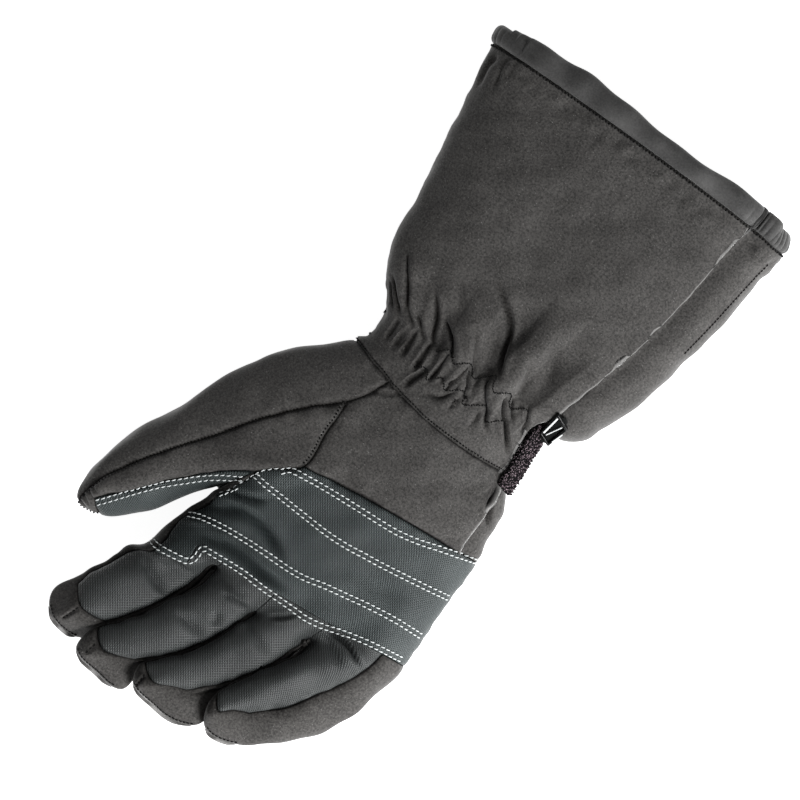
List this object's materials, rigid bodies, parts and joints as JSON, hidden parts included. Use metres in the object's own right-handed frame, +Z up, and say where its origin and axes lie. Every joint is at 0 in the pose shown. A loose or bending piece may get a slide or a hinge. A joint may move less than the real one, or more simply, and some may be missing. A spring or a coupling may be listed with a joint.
{
  "type": "motorcycle glove",
  "caption": "Right-hand winter gauntlet glove lying palm up, with a gathered wrist, flared cuff, woven palm patch, grip fingers and a buckled side strap.",
  "frame": {"origin": "on the surface the glove lies on, under the middle of the palm", "axes": "+Y from the cuff to the fingers, +X to the thumb, +Z up out of the palm"},
  "size_m": [0.1915, 0.4017, 0.0545],
  "materials": {
    "softshell": "dark charcoal soft-shell cloth, fine knit face, soft sheen",
    "woven_nylon": "blue-grey woven nylon with a fine rib, slight sheen",
    "hem_cloth": "soft-shell cloth rolled over the mouth, ribbed by its stitching",
    "knit_webbing": "black knitted webbing, matt",
    "buckle_plastic": "black moulded plastic, glossy"
  },
  "bodies": {
    "root": {"gauntlet_palm_panel": "softshell", "gauntlet_back_panel": "softshell", "heel_panel": "softshell", "hand_back_panel": "softshell", "thumb_outer_panel": "softshell", "thumb_front_panel": "softshell", "index_side_panel": "softshell", "index_back_panel": "softshell", "middle_side_panel": "softshell", "middle_back_panel": "softshell", "ring_side_panel": "softshell", "ring_back_panel": "softshell", "little_side_panel": "softshell", "little_back_panel": "softshell", "palm_patch": "woven_nylon", "thumb_grip_panel": "woven_nylon", "index_front_panel": "woven_nylon", "middle_front_panel": "woven_nylon", "ring_front_panel": "woven_nylon", "little_front_panel": "woven_nylon", "cuff_hem": "hem_cloth", "wrist_strap": "knit_webbing", "strap_buckle": "buckle_plastic"}
  },
  "joints": []
}
